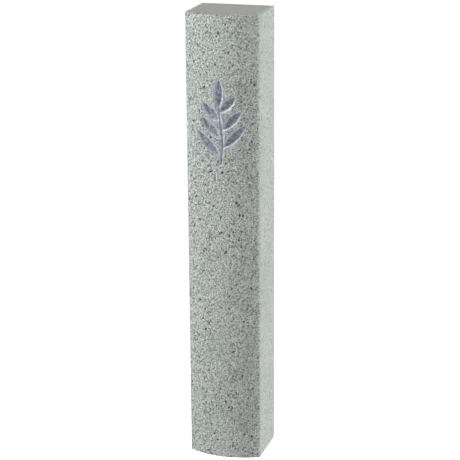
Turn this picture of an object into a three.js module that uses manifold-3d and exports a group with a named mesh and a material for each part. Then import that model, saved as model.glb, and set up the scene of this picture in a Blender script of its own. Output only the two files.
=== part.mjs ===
// A mezuzah case: a cast block for a doorpost, with a blind bore that holds one rolled parchment.
// Millimetres, +Z up. The front faces -Y and the pads on the back face +Y. The origin is at the
// centre of the base of the whole assembly, pads and liners included.
import * as THREE from 'three';
import Module from 'manifold-3d';
import { mergeVertices } from 'three/addons/utils/BufferGeometryUtils.js';

const wasm = await Module();
wasm.setup();

// Case body
const CASE_HEIGHT = 150;
const CASE_WIDTH = 24.5;
const SIDE_DEPTH = 18;
const FRONT_BULGE = 3.2;
const EDGE_RADIUS = 0.5;
const EDGE_STEPS = 2;
const FRONT_ARC_STEPS = 24;

// Bore for the scroll, with a stepped mouth at the bottom end
const BORE_RADIUS = 6.5;
const BORE_TO_BACK = 10.2;
const TOP_WALL = 6;
const SEAT_RADIUS = 8.3;
const SEAT_DEPTH = 2;
const NAIL_NOTCH_RADIUS = 2.5;
const NAIL_NOTCH_OFFSET = 8;
const NAIL_NOTCH_DEPTH = 3.2;
const BORE_STEPS = 48;
const NOTCH_STEPS = 24;

// Stopper
const STOPPER_RECESS = 0.3;
const FLANGE_RADIUS = 8;
const FLANGE_THICKNESS = 1.5;
const PLUG_TOP = 14;
const PLUG_CORE_RADIUS = 5.8;
const PLUG_TIP_RADIUS = 5.2;
const PLUG_TIP_TAPER = 1.2;
const RIB_RADIUS = 6.35;
const RIB_COUNT = 3;
const RIB_PITCH = 3.2;
const RIB_HALF_HEIGHT = 0.8;
const RIB_HALF_CREST = 0.2;
const FIRST_RIB = 4.6;

// Scroll and its sleeve
const SCROLL_GAP = 0.3;
const SLEEVE_INNER_RADIUS = 5.15;
const SLEEVE_WALL = 0.2;
const SLEEVE_LENGTH = 124;
const SHEET_HEIGHT = 120;
const SHEET_THICKNESS = 0.25;
const SHEET_TURNS = 5.5;
const SHEET_CORE_RADIUS = 2;
const SHEET_PITCH = 0.5;
const SHEET_STEPS_PER_TURN = 20;

// Fixing pads and their release liners
const PAD_WIDTH = 20;
const PAD_HEIGHT = 45;
const PAD_THICKNESS = 1;
const PAD_CORNER = 1.5;
const PAD_CORNER_STEPS = 5;
const LINER_THICKNESS = 0.2;
const LINER_TAB = 3;
const UPPER_PAD_Z = 115;
const LOWER_PAD_Z = 35;

// Engraved sprig: leaves on alternate sides of a stem, and one leaf at its tip
const SPRIG_FOOT_Z = 101.3;
const SPRIG_TOP_Z = 130;
const SPRIG_DEPTH = 1.1;
const STEM_WIDTH = 1.5;
const STEM_BOW = 0.6;
const STEM_STEPS = 12;
const SIDE_LEAVES = 6;
const FIRST_LEAF = 2.6;
const LEAF_PITCH = 2.9;
const LEAF_ANGLE = THREE.MathUtils.degToRad(44);
const LOWEST_LEAF_LENGTH = 12.4;
const LEAF_SHORTENING = 0.85;
const LEAF_WIDTH = 3.4;
const LEAF_SHOULDER = { share: 0.3, reach: 0.72 };
const LEAF_NECK = { share: 0.7, reach: 0.62 };
const TIP_LEAF_LENGTH = 10.5;
const LEAF_STEPS = 8;
const PAINT_THICKNESS = 0.25;
const PAINT_GAP = 0.1;
const PAINT_WALL_GAP = 0.2;

// How far a cutting solid runs past what it cuts, and how close two points are to count as one
const CUT_MARGIN = 1;
const WELD_DISTANCE = 1e-5;

// Places that follow from those
const totalDepth = FRONT_BULGE + SIDE_DEPTH + PAD_THICKNESS + LINER_THICKNESS;
const frontY = -totalDepth / 2;
const cornerY = frontY + FRONT_BULGE;
const backY = cornerY + SIDE_DEPTH;
const boreY = backY - BORE_TO_BACK;
const halfWidth = CASE_WIDTH / 2;
const frontRadius = (halfWidth ** 2 + FRONT_BULGE ** 2) / (2 * FRONT_BULGE);
const frontArcY = frontY + frontRadius;
const halfFrontAngle = Math.asin(halfWidth / frontRadius);
const sleeveBottom = PLUG_TOP + SCROLL_GAP;
const sheetBottom = sleeveBottom + (SLEEVE_LENGTH - SHEET_HEIGHT) / 2;
const sprigHeight = SPRIG_TOP_Z - SPRIG_FOOT_Z;

const stoneResin = new THREE.MeshStandardMaterial({ color: 0xb0b6b1, roughness: 0.85 });
const silverBluePaint = new THREE.MeshStandardMaterial({ color: 0x8b93a3, roughness: 0.5, metalness: 0.3 });
const blackRubber = new THREE.MeshStandardMaterial({ color: 0x2b2b2d, roughness: 0.8 });
const parchment = new THREE.MeshStandardMaterial({ color: 0xe6d8b8, roughness: 0.75 });
const clearFilm = new THREE.MeshStandardMaterial({
  color: 0xeef3f5, roughness: 0.15, transparent: true, opacity: 0.35,
});
const whiteFoam = new THREE.MeshStandardMaterial({ color: 0xe9e9e4, roughness: 0.9 });
const linerPaper = new THREE.MeshStandardMaterial({ color: 0xf3ecd2, roughness: 0.6 });

// A closed geometry as a solid that can be joined and cut.
function solidOf(geometry) {
  const bare = geometry.index ? geometry : geometry.clone();
  bare.deleteAttribute('normal');
  bare.deleteAttribute('uv');
  const welded = mergeVertices(bare, WELD_DISTANCE);
  const mesh = new wasm.Mesh({
    numProp: 3,
    vertProperties: new Float32Array(welded.attributes.position.array),
    triVerts: new Uint32Array(welded.index.array),
  });
  return new wasm.Manifold(mesh);
}

function geometryOf(solid) {
  const { vertProperties, triVerts } = solid.getMesh();
  const geometry = new THREE.BufferGeometry();
  geometry.setAttribute('position', new THREE.BufferAttribute(vertProperties, 3));
  geometry.setIndex(new THREE.BufferAttribute(triVerts, 1));
  geometry.computeVertexNormals();
  return geometry;
}

function part(name, geometry, material) {
  const mesh = new THREE.Mesh(geometry, material);
  mesh.name = name;
  return mesh;
}

// A shape drawn on XY, raised along +Z from the height bottom.
function raised(shape, bottom, height, options = {}) {
  const geometry = new THREE.ExtrudeGeometry(shape, { depth: height, bevelEnabled: false, ...options });
  return geometry.translate(0, 0, bottom);
}

// An upright cylinder about the vertical line through (x, y).
function uprightCylinder(radius, bottom, top, x, y, steps) {
  const geometry = new THREE.CylinderGeometry(radius, radius, top - bottom, steps);
  return geometry.rotateX(Math.PI / 2).translate(x, y, (bottom + top) / 2);
}

// A profile of [radius, height] points turned about the bore's axis.
function turned(profile, steps) {
  const points = profile.map(([radius, height]) => new THREE.Vector2(radius, height));
  return new THREE.LatheGeometry(points, steps).rotateX(Math.PI / 2).translate(0, boreY, 0);
}

// The case's plan: straight back and sides, and a front that is one shallow arc.
function casePlan() {
  const plan = new THREE.Shape();
  plan.moveTo(halfWidth, cornerY);
  plan.lineTo(halfWidth, backY);
  plan.lineTo(-halfWidth, backY);
  plan.lineTo(-halfWidth, cornerY);
  const start = -Math.PI / 2 - halfFrontAngle;
  plan.absarc(0, frontArcY, frontRadius, start, start + 2 * halfFrontAngle, false);
  return plan;
}

function caseBlock() {
  return raised(casePlan(), EDGE_RADIUS, CASE_HEIGHT - 2 * EDGE_RADIUS, {
    bevelEnabled: true,
    bevelSize: EDGE_RADIUS,
    bevelThickness: EDGE_RADIUS,
    bevelOffset: -EDGE_RADIUS,
    bevelSegments: EDGE_STEPS,
    curveSegments: FRONT_ARC_STEPS,
  });
}

// The bore, the seat for the stopper's flange and the notch that lets a fingernail under it.
function boreCut() {
  const bore = uprightCylinder(BORE_RADIUS, -CUT_MARGIN, CASE_HEIGHT - TOP_WALL, 0, boreY, BORE_STEPS);
  const seat = uprightCylinder(SEAT_RADIUS, -CUT_MARGIN, SEAT_DEPTH, 0, boreY, BORE_STEPS);
  const notch = uprightCylinder(
    NAIL_NOTCH_RADIUS, -CUT_MARGIN, NAIL_NOTCH_DEPTH, NAIL_NOTCH_OFFSET, boreY, NOTCH_STEPS,
  );
  return solidOf(bore).add(solidOf(seat)).add(solidOf(notch));
}

// The stem's sideways bow at a height above the sprig's foot.
function stemX(height) {
  return STEM_BOW * Math.sin((2 * Math.PI * height) / sprigHeight);
}

// A leaf from its base on the stem to its tip, leaning from upright by angle, fullest near its base.
function leafShape(baseHeight, angle, length, width) {
  const along = new THREE.Vector2(Math.sin(angle), Math.cos(angle));
  const across = new THREE.Vector2(along.y, -along.x);
  const base = new THREE.Vector2(stemX(baseHeight), SPRIG_FOOT_Z + baseHeight);
  const tip = base.clone().addScaledVector(along, length);
  const control = ({ share, reach }, sign) => {
    const onMidrib = base.clone().addScaledVector(along, length * share);
    return onMidrib.addScaledVector(across, sign * width * reach);
  };
  const rightEdge = new THREE.CubicBezierCurve(base, control(LEAF_SHOULDER, 1), control(LEAF_NECK, 1), tip);
  const leftEdge = new THREE.CubicBezierCurve(tip, control(LEAF_NECK, -1), control(LEAF_SHOULDER, -1), base);
  const shape = new THREE.Shape();
  shape.curves.push(rightEdge, leftEdge);
  return shape;
}

function stemShape(width) {
  const tipLeafBase = sprigHeight - TIP_LEAF_LENGTH + STEM_WIDTH;
  const [right, left] = [[], []];
  for (let i = 0; i <= STEM_STEPS; i += 1) {
    const height = (i / STEM_STEPS) * tipLeafBase;
    right.push(new THREE.Vector2(stemX(height) + width / 2, SPRIG_FOOT_Z + height));
    left.unshift(new THREE.Vector2(stemX(height) - width / 2, SPRIG_FOOT_Z + height));
  }
  return new THREE.Shape([...right, ...left]);
}

// The whole sprig as an upright prism through the case's front, each edge drawn in by inset.
function sprigPrism(inset) {
  const shapes = [stemShape(STEM_WIDTH - 2 * inset)];
  const tipBase = sprigHeight - TIP_LEAF_LENGTH;
  shapes.push(leafShape(tipBase, 0, TIP_LEAF_LENGTH - 2 * inset, LEAF_WIDTH - 2 * inset));
  for (let i = 0; i < SIDE_LEAVES; i += 1) {
    const angle = i % 2 === 0 ? -LEAF_ANGLE : LEAF_ANGLE;
    const length = LOWEST_LEAF_LENGTH - i * LEAF_SHORTENING;
    shapes.push(leafShape(FIRST_LEAF + i * LEAF_PITCH, angle, length - 2 * inset, LEAF_WIDTH - 2 * inset));
  }
  // Drawn on XZ: the prism is raised along Z, then turned so that it runs along -Y.
  const prisms = shapes.map((shape) => {
    const prism = raised(shape, -CUT_MARGIN, frontArcY - frontY, { curveSegments: LEAF_STEPS });
    return solidOf(prism.rotateX(Math.PI / 2).translate(0, frontArcY - CUT_MARGIN, 0));
  });
  return prisms.reduce((whole, prism) => whole.add(prism));
}

// The space within the front's arc once it is drawn in by depth.
function behindFront(depth) {
  const steps = Math.round((FRONT_ARC_STEPS * Math.PI) / halfFrontAngle);
  return solidOf(uprightCylinder(frontRadius - depth, 0, CASE_HEIGHT, 0, frontArcY, steps));
}

function caseBody() {
  const engraving = sprigPrism(0).subtract(behindFront(SPRIG_DEPTH));
  const body = solidOf(caseBlock()).subtract(boreCut()).subtract(engraving);
  return part('case_body', geometryOf(body), stoneResin);
}

function emblemPaint() {
  const bottom = SPRIG_DEPTH - PAINT_GAP;
  const layer = behindFront(bottom - PAINT_THICKNESS).subtract(behindFront(bottom));
  return part('emblem_paint', geometryOf(sprigPrism(PAINT_WALL_GAP).intersect(layer)), silverBluePaint);
}

function stopper() {
  const flangeTop = STOPPER_RECESS + FLANGE_THICKNESS;
  const profile = [
    [0, STOPPER_RECESS],
    [FLANGE_RADIUS, STOPPER_RECESS],
    [FLANGE_RADIUS, flangeTop],
    [PLUG_CORE_RADIUS, flangeTop],
  ];
  for (let i = 0; i < RIB_COUNT; i += 1) {
    const middle = FIRST_RIB + i * RIB_PITCH;
    profile.push([PLUG_CORE_RADIUS, middle - RIB_HALF_HEIGHT]);
    profile.push([RIB_RADIUS, middle - RIB_HALF_CREST]);
    profile.push([RIB_RADIUS, middle + RIB_HALF_CREST]);
    profile.push([PLUG_CORE_RADIUS, middle + RIB_HALF_HEIGHT]);
  }
  profile.push([PLUG_CORE_RADIUS, PLUG_TOP - PLUG_TIP_TAPER]);
  profile.push([PLUG_TIP_RADIUS, PLUG_TOP]);
  profile.push([0, PLUG_TOP]);
  return part('stopper', turned(profile, BORE_STEPS), blackRubber);
}

// One sheet rolled up: the plan is a spiral of even thickness.
function parchmentScroll() {
  const steps = Math.round(SHEET_TURNS * SHEET_STEPS_PER_TURN);
  const [inner, outer] = [[], []];
  for (let i = 0; i <= steps; i += 1) {
    const turns = i / SHEET_STEPS_PER_TURN;
    const angle = turns * 2 * Math.PI;
    const radius = SHEET_CORE_RADIUS + turns * SHEET_PITCH;
    const direction = new THREE.Vector2(Math.cos(angle), Math.sin(angle));
    inner.unshift(direction.clone().multiplyScalar(radius));
    outer.push(direction.clone().multiplyScalar(radius + SHEET_THICKNESS));
  }
  const roll = raised(new THREE.Shape([...outer, ...inner]), sheetBottom, SHEET_HEIGHT);
  return part('parchment_scroll', roll.translate(0, boreY, 0), parchment);
}

function scrollSleeve() {
  const outerRadius = SLEEVE_INNER_RADIUS + SLEEVE_WALL;
  const sleeveTop = sleeveBottom + SLEEVE_LENGTH;
  const profile = [
    [SLEEVE_INNER_RADIUS, sleeveBottom],
    [outerRadius, sleeveBottom],
    [outerRadius, sleeveTop],
    [SLEEVE_INNER_RADIUS, sleeveTop],
    [SLEEVE_INNER_RADIUS, sleeveBottom],
  ];
  return part('scroll_sleeve', turned(profile, BORE_STEPS), clearFilm);
}

// A flat sheet on the case's back, with rounded corners, from its near face outwards.
function backSheet(width, height, thickness, nearY, middleZ) {
  const [right, top, corner] = [width / 2, height / 2, PAD_CORNER];
  const shape = new THREE.Shape();
  shape.absarc(right - corner, top - corner, corner, 0, Math.PI / 2, false);
  shape.absarc(corner - right, top - corner, corner, Math.PI / 2, Math.PI, false);
  shape.absarc(corner - right, corner - top, corner, Math.PI, 1.5 * Math.PI, false);
  shape.absarc(right - corner, corner - top, corner, 1.5 * Math.PI, 2 * Math.PI, false);
  const sheet = raised(shape, 0, thickness, { curveSegments: PAD_CORNER_STEPS });
  return sheet.rotateX(Math.PI / 2).translate(0, nearY + thickness, middleZ);
}

function fixingPad(name, middleZ) {
  return part(name, backSheet(PAD_WIDTH, PAD_HEIGHT, PAD_THICKNESS, backY, middleZ), whiteFoam);
}

// The liner is longer than its pad by a tab at the top, so that it can be gripped.
function releaseLiner(name, middleZ) {
  const height = PAD_HEIGHT + LINER_TAB;
  const sheet = backSheet(PAD_WIDTH, height, LINER_THICKNESS, backY + PAD_THICKNESS, middleZ + LINER_TAB / 2);
  return part(name, sheet, linerPaper);
}

const mezuzahCase = new THREE.Group();
mezuzahCase.add(
  caseBody(),
  emblemPaint(),
  stopper(),
  parchmentScroll(),
  scrollSleeve(),
  fixingPad('upper_pad', UPPER_PAD_Z),
  fixingPad('lower_pad', LOWER_PAD_Z),
  releaseLiner('upper_liner', UPPER_PAD_Z),
  releaseLiner('lower_liner', LOWER_PAD_Z),
);

export default mezuzahCase;
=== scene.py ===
"""The looks of a mezuzah case: cast stone-effect body, painted engraving, stopper, scroll and fixing pads.

Everything is in metres in the frame's axes: the front faces -Y, the pads on the back face +Y, +Z is up.
"""
import math
import random

import bmesh
import bpy
import numpy as np
from mathutils import Matrix, Vector, geometry, kdtree, noise


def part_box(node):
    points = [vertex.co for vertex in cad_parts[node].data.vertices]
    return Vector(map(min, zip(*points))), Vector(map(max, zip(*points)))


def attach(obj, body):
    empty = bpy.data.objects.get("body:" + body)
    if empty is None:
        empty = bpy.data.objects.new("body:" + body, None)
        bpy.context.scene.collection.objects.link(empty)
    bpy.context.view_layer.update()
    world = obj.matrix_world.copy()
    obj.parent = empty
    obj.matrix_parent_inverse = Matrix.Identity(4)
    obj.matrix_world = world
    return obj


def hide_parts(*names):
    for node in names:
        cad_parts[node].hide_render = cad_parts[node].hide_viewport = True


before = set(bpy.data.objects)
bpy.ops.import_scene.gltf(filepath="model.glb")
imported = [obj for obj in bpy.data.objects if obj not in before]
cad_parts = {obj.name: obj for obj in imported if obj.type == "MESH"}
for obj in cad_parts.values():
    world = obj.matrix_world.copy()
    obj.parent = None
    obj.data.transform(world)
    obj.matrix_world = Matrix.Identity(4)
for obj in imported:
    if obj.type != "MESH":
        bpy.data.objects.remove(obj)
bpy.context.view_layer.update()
MM = 0.001
random.seed(613)

# ---------------------------------------------------------------- places and sizes taken from the frame
BODY_LOW, BODY_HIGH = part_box("case_body")
STOPPER_LOW, STOPPER_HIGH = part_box("stopper")
SHEET_LOW, SHEET_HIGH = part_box("parchment_scroll")
SLEEVE_LOW, SLEEVE_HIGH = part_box("scroll_sleeve")
PAINT_LOW, PAINT_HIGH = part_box("emblem_paint")
HALF_WIDTH = BODY_HIGH.x
HEIGHT = BODY_HIGH.z
FRONT_Y = BODY_LOW.y
BACK_Y = BODY_HIGH.y
BORE_Y = (STOPPER_LOW.y + STOPPER_HIGH.y) / 2

# ---------------------------------------------------------------- the design's other dimensions
FRONT_BULGE = 3.2 * MM
CORNER_Y = FRONT_Y + FRONT_BULGE
FRONT_RADIUS = (HALF_WIDTH**2 + FRONT_BULGE**2) / (2 * FRONT_BULGE)
FRONT_ARC_Y = FRONT_Y + FRONT_RADIUS
CORNER_ROUND = 0.5 * MM
EDGE_ROUND = 0.5 * MM
BORE_RADIUS = 6.5 * MM
THICKNESS_ABOVE_BORE = 6 * MM
BORE_TOP = HEIGHT - THICKNESS_ABOVE_BORE
SEAT_RADIUS = 8.3 * MM
SEAT_DEPTH = 2 * MM
NOTCH_RADIUS = 2.5 * MM
NOTCH_OFFSET = 8 * MM
NOTCH_DEPTH = 3.2 * MM
SPRIG_FOOT_Z = 101.3 * MM
SPRIG_TOP_Z = 130 * MM
SPRIG_HEIGHT = SPRIG_TOP_Z - SPRIG_FOOT_Z
SPRIG_DEPTH = 1.1 * MM
STEM_WIDTH = 1.5 * MM
STEM_BOW = 0.6 * MM
SIDE_LEAVES = 6
FIRST_LEAF = 2.6 * MM
LEAF_PITCH = 2.9 * MM
LEAF_ANGLE = math.radians(44)
LOWEST_LEAF_LENGTH = 12.4 * MM
LEAF_SHORTENING = 0.85 * MM
LEAF_WIDTH = 3.4 * MM
TIP_LEAF_LENGTH = 10.5 * MM
LEAF_SHOULDER = (0.3, 0.72)
LEAF_NECK = (0.7, 0.62)


# ---------------------------------------------------------------- small helpers
SHARP_ANGLE = math.radians(40)


def new_object(name, vertices, faces):
    """A mesh object from points and faces, smooth but for its sharp edges."""
    mesh = bpy.data.meshes.new(name)
    mesh.from_pydata(vertices, [], faces)
    mesh.validate()
    mesh.shade_smooth()
    mesh.set_sharp_from_angle(angle=SHARP_ANGLE)
    made = bpy.data.objects.new(name, mesh)
    bpy.context.scene.collection.objects.link(made)
    return made


def stand_for(piece, node, body, material):
    """piece replaces a CAD node and takes its body, slot and material."""
    piece.data.materials.clear()
    piece.data.materials.append(material)
    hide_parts(node)
    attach(piece, body)


def point_attribute(piece, name, values):
    """Stores a number at each vertex, for the piece's material to read."""
    attribute = piece.data.attributes.new(name, "FLOAT", "POINT")
    attribute.data.foreach_set("value", np.asarray(values, np.float32))


def smooth_step(t):
    """0 below 0, 1 above 1 and an S-shaped rise between them."""
    t = np.clip(t, 0.0, 1.0)
    return t * t * (3 - 2 * t)


# ---------------------------------------------------------------- the sprig's outline
LEAF_STEPS = 14
STEM_STEPS = 24
TINY = 1e-18


def stem_x(height):
    """How far the stem's middle line bows to the right at a height above its foot."""
    return STEM_BOW * math.sin(2 * math.pi * height / SPRIG_HEIGHT)


def leaf_outline(base_height, angle, length):
    """A leaf's edge as (x, z) points, from its base up one side and down the other."""
    along = Vector((math.sin(angle), math.cos(angle)))
    across = Vector((along.y, -along.x))
    base = Vector((stem_x(base_height), SPRIG_FOOT_Z + base_height))
    tip = base + along * length

    def control(share_and_reach, side):
        share, reach = share_and_reach
        return base + along * (length * share) + across * (side * LEAF_WIDTH * reach)

    right = (base, control(LEAF_SHOULDER, 1), control(LEAF_NECK, 1), tip)
    right = geometry.interpolate_bezier(*right, LEAF_STEPS)
    left = (tip, control(LEAF_NECK, -1), control(LEAF_SHOULDER, -1), base)
    left = geometry.interpolate_bezier(*left, LEAF_STEPS)
    return [tuple(p) for p in right[:-1] + left[:-1]]


def stem_outline():
    """The stem's edge as (x, z) points, up its right side and down its left."""
    top = SPRIG_HEIGHT - TIP_LEAF_LENGTH + STEM_WIDTH
    heights = [top * i / STEM_STEPS for i in range(STEM_STEPS + 1)]
    right = [(stem_x(h) + STEM_WIDTH / 2, SPRIG_FOOT_Z + h) for h in heights]
    left = [(stem_x(h) - STEM_WIDTH / 2, SPRIG_FOOT_Z + h) for h in reversed(heights)]
    return right + left


def sprig_outlines():
    """The stem, the leaf at its tip and the side leaves, which alternate left and right."""
    shapes = [stem_outline(), leaf_outline(SPRIG_HEIGHT - TIP_LEAF_LENGTH, 0, TIP_LEAF_LENGTH)]
    for i in range(SIDE_LEAVES):
        angle = LEAF_ANGLE if i % 2 else -LEAF_ANGLE
        length = LOWEST_LEAF_LENGTH - i * LEAF_SHORTENING
        shapes.append(leaf_outline(FIRST_LEAF + i * LEAF_PITCH, angle, length))
    return shapes


def inside_distance(points, outline):
    """Distance of each (x, z) point from an outline: positive inside it, negative outside."""
    corners = np.array(outline)
    ends = np.roll(corners, -1, axis=0)
    nearest = np.full(len(points), np.inf)
    inside = np.zeros(len(points), bool)
    for a, b in zip(corners, ends):
        edge = b - a
        to_point = points - a
        share = np.clip(to_point @ edge / max(edge @ edge, TINY), 0, 1)
        nearest = np.minimum(nearest, np.hypot(*(to_point - share[:, None] * edge).T))
        crosses = (a[1] > points[:, 1]) != (b[1] > points[:, 1])
        rise = b[1] - a[1] if b[1] != a[1] else TINY
        inside ^= crosses & (points[:, 0] < a[0] + (points[:, 1] - a[1]) / rise * edge[0])
    return np.where(inside, nearest, -nearest)


def sprig_distance(points):
    """Distance of each (x, z) point from the whole sprig's edge, positive inside it."""
    return np.max([inside_distance(points, outline) for outline in sprig_outlines()], axis=0)


GROOVE_WALL = 1.15 * MM
GROOVE_LIP = 0.08 * MM
GROOVE_ROUNDING = 1.3
GRAIN_LOST_IN_GROOVE = 0.6


def kept_relief(depth):
    """The share of the casting's grain that is left at a depth in the engraving."""
    return 1 - GRAIN_LOST_IN_GROOVE * min(1.0, depth / SPRIG_DEPTH)


def groove_depth(distance):
    """A carved groove: its lip is eased, its walls slope and its floor is nearly flat."""
    share = np.clip((distance + GROOVE_LIP) / GROOVE_WALL, 0, 1)
    return SPRIG_DEPTH * np.sin(share * math.pi / 2) ** GROOVE_ROUNDING


# ---------------------------------------------------------------- the case body's surface
FRONT_COLUMN = 0.24 * MM
SIDE_NEAR_COLUMN = 0.4 * MM
SIDE_COLUMN = 0.6 * MM
BACK_COLUMN = 1.7 * MM
ROW = 0.35 * MM
SPRIG_ROW = 0.23 * MM
SPRIG_MARGIN = 0.6 * MM
CORNER_STEPS = 4
CORNER_PULL = 0.6
EDGE_STEPS = 4

# How coarse each face is, from 0 for smooth to 1 for the sandy front.
FRONT_COARSE = 1.0
CORNER_COARSE = 0.75
SIDE_COARSE = 0.25
SIDE_EDGE_EXTRA = 0.45
BACK_COARSE = 0.2
END_COARSE = 0.05
COARSE_FADE = 3 * MM

# The grain: its full height on the front, how its height falls with coarseness, and its three patterns.
# PEBBLE_RADIUS is a share of the space between pebbles.
GRAIN = 0.22 * MM
SMOOTH_SHARE = 0.09
COARSE_POWER = 1.5
PEBBLES_PER_MM = 1.5
PEBBLE_RADIUS = 0.45
PEBBLE_WEIGHT = 1.5
SAND_PER_MM = 2.0
SAND_SHIFT = Vector((7, 3, 1))
SAND_WEIGHT = 0.9
PATCHES_PER_MM = 0.09
PATCH_MIDDLE = 0.8
PATCH_SWING = 0.5

# The pits: how many, the range of their radii in millimetres, and their depths as shares of the radius.
STRONG_PITS = 190
STRONG_PIT_RADII = (0.28, 0.44)
STRONG_PIT_DEPTH = 0.9
FAINT_PITS = 950
FAINT_PIT_RADII = (0.24, 0.36)
FAINT_PIT_DEPTHS = (0.2, 0.5)
SIDE_PITS = 60
SIDE_PIT_RADII = (0.25, 0.4)
SIDE_PIT_DEPTHS = (0.3, 0.7)
DARKEST_PIT = 0.3 * MM


def spread(start, end, step):
    """Values from start up to, and not including, end."""
    count = max(1, round(abs(end - start) / step))
    return [start + (end - start) * i / count for i in range(count)]


def eased_corner(before, corner, after):
    """A rounded corner as a curve that starts along one edge and ends along the next."""
    curve = (before, before.lerp(corner, CORNER_PULL), after.lerp(corner, CORNER_PULL), after)
    points = geometry.interpolate_bezier(*curve, CORNER_STEPS + 1)
    return [(p.x, p.y) for p in points[:-1]]


def body_plan():
    """The outline from above as (x, y, how coarse), anticlockwise from the front's left end."""
    reach = math.asin(HALF_WIDTH / FRONT_RADIUS)
    trimmed = reach - CORNER_ROUND / FRONT_RADIUS

    def on_front(angle):
        return Vector((FRONT_RADIUS * math.sin(angle), FRONT_ARC_Y - FRONT_RADIUS * math.cos(angle)))

    front_angles = spread(-trimmed, trimmed, FRONT_COLUMN / FRONT_RADIUS)
    front = [(*on_front(a), FRONT_COARSE) for a in front_angles]
    front_corner = Vector((HALF_WIDTH, CORNER_Y))
    back_corner = Vector((HALF_WIDTH, BACK_Y))
    side_start = front_corner + Vector((0, CORNER_ROUND))
    side_end = back_corner - Vector((0, CORNER_ROUND))
    back_start = back_corner - Vector((CORNER_ROUND, 0))
    right = [(x, y, CORNER_COARSE) for x, y in eased_corner(on_front(trimmed), front_corner, side_start)]
    fade_end = side_start.y + COARSE_FADE
    for y in spread(side_start.y, fade_end, SIDE_NEAR_COLUMN):
        extra = SIDE_EDGE_EXTRA * (1 - (y - side_start.y) / COARSE_FADE) ** 2
        right.append((HALF_WIDTH, y, SIDE_COARSE + extra))
    right += [(HALF_WIDTH, y, SIDE_COARSE) for y in spread(fade_end, side_end.y, SIDE_COLUMN)]
    right += [(x, y, SIDE_COARSE) for x, y in eased_corner(side_end, back_corner, back_start)]
    back = [(x, BACK_Y, BACK_COARSE) for x in spread(back_start.x, -back_start.x, BACK_COLUMN)]
    left_start = (-back_start.x, BACK_Y, SIDE_COARSE)
    left = [(-x, y, c) for x, y, c in reversed(right[1:])]
    return front + right + back + [left_start] + left


def body_rows():
    """The rings from the bottom edge to the top edge as (inset, height, upward lean of the surface)."""
    bottom = []
    for i in range(EDGE_STEPS + 1):
        turn = math.pi / 2 * i / EDGE_STEPS
        inset = EDGE_ROUND * (1 - math.sin(turn))
        bottom.append((inset, EDGE_ROUND * (1 - math.cos(turn)), -math.cos(turn)))
    top = [(inset, HEIGHT - z, -lean) for inset, z, lean in reversed(bottom)]
    low = SPRIG_FOOT_Z - SPRIG_MARGIN
    high = SPRIG_TOP_Z + SPRIG_MARGIN
    straight = spread(EDGE_ROUND, low, ROW)[1:] + spread(low, high, SPRIG_ROW)
    straight += spread(high, HEIGHT - EDGE_ROUND, ROW)
    return bottom + [(0.0, z, 0.0) for z in straight] + top


def plan_normals(plan):
    """The outline's outward direction at each of its points."""
    loop = np.array([(x, y) for x, y, _ in plan])
    tangent = np.roll(loop, -1, axis=0) - np.roll(loop, 1, axis=0)
    normal = np.stack([tangent[:, 1], -tangent[:, 0]], axis=1)
    return normal / np.linalg.norm(normal, axis=1)[:, None]


def grain(place):
    """The sandy relief of the casting at a point, about -1 in its creases to 1 on its grains."""
    at = place / MM
    pebble = PEBBLE_RADIUS - noise.voronoi(at * PEBBLES_PER_MM)[0][0]
    sand = noise.noise(at * SAND_PER_MM + SAND_SHIFT)
    patch = PATCH_MIDDLE + PATCH_SWING * noise.noise(at * PATCHES_PER_MM)
    return (PEBBLE_WEIGHT * pebble + SAND_WEIGHT * sand) * patch


def grain_amplitude(coarse):
    """Half the grain's height, in metres, on a face of a given coarseness."""
    return GRAIN / 2 * (SMOOTH_SHARE + (1 - SMOOTH_SHARE) * coarse**COARSE_POWER)


def pit_list(total_length, front_length):
    """Random pits on the unwrapped surface as (along the outline, height, radius, depth)."""
    pits = []

    def add_pit(start, stop, radius, share):
        """One pit at a random place between two distances along the outline."""
        pits.append((random.uniform(start, stop), random.uniform(0, HEIGHT), radius, share * radius))

    for _ in range(STRONG_PITS):
        add_pit(0, front_length, random.uniform(*STRONG_PIT_RADII) * MM, STRONG_PIT_DEPTH)
    for _ in range(FAINT_PITS):
        radius = random.uniform(*FAINT_PIT_RADII) * MM
        add_pit(0, front_length, radius, random.uniform(*FAINT_PIT_DEPTHS))
    for _ in range(SIDE_PITS):
        radius = random.uniform(*SIDE_PIT_RADII) * MM
        add_pit(front_length, total_length, radius, random.uniform(*SIDE_PIT_DEPTHS))
    return pits


def pit_depths(along, heights, total_length, front_length):
    """How deep each vertex lies in the pits, in metres, over the unwrapped surface."""
    tree = kdtree.KDTree(len(along))
    for i, (s, z) in enumerate(zip(along, heights)):
        tree.insert((s, z, 0), i)
    tree.balance()
    depths = np.zeros(len(along))
    for s, z, radius, depth in pit_list(total_length, front_length):
        for _, index, distance in tree.find_range((s, z, 0), radius):
            depths[index] = max(depths[index], depth * (1 - (distance / radius) ** 2))
    return depths


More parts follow.
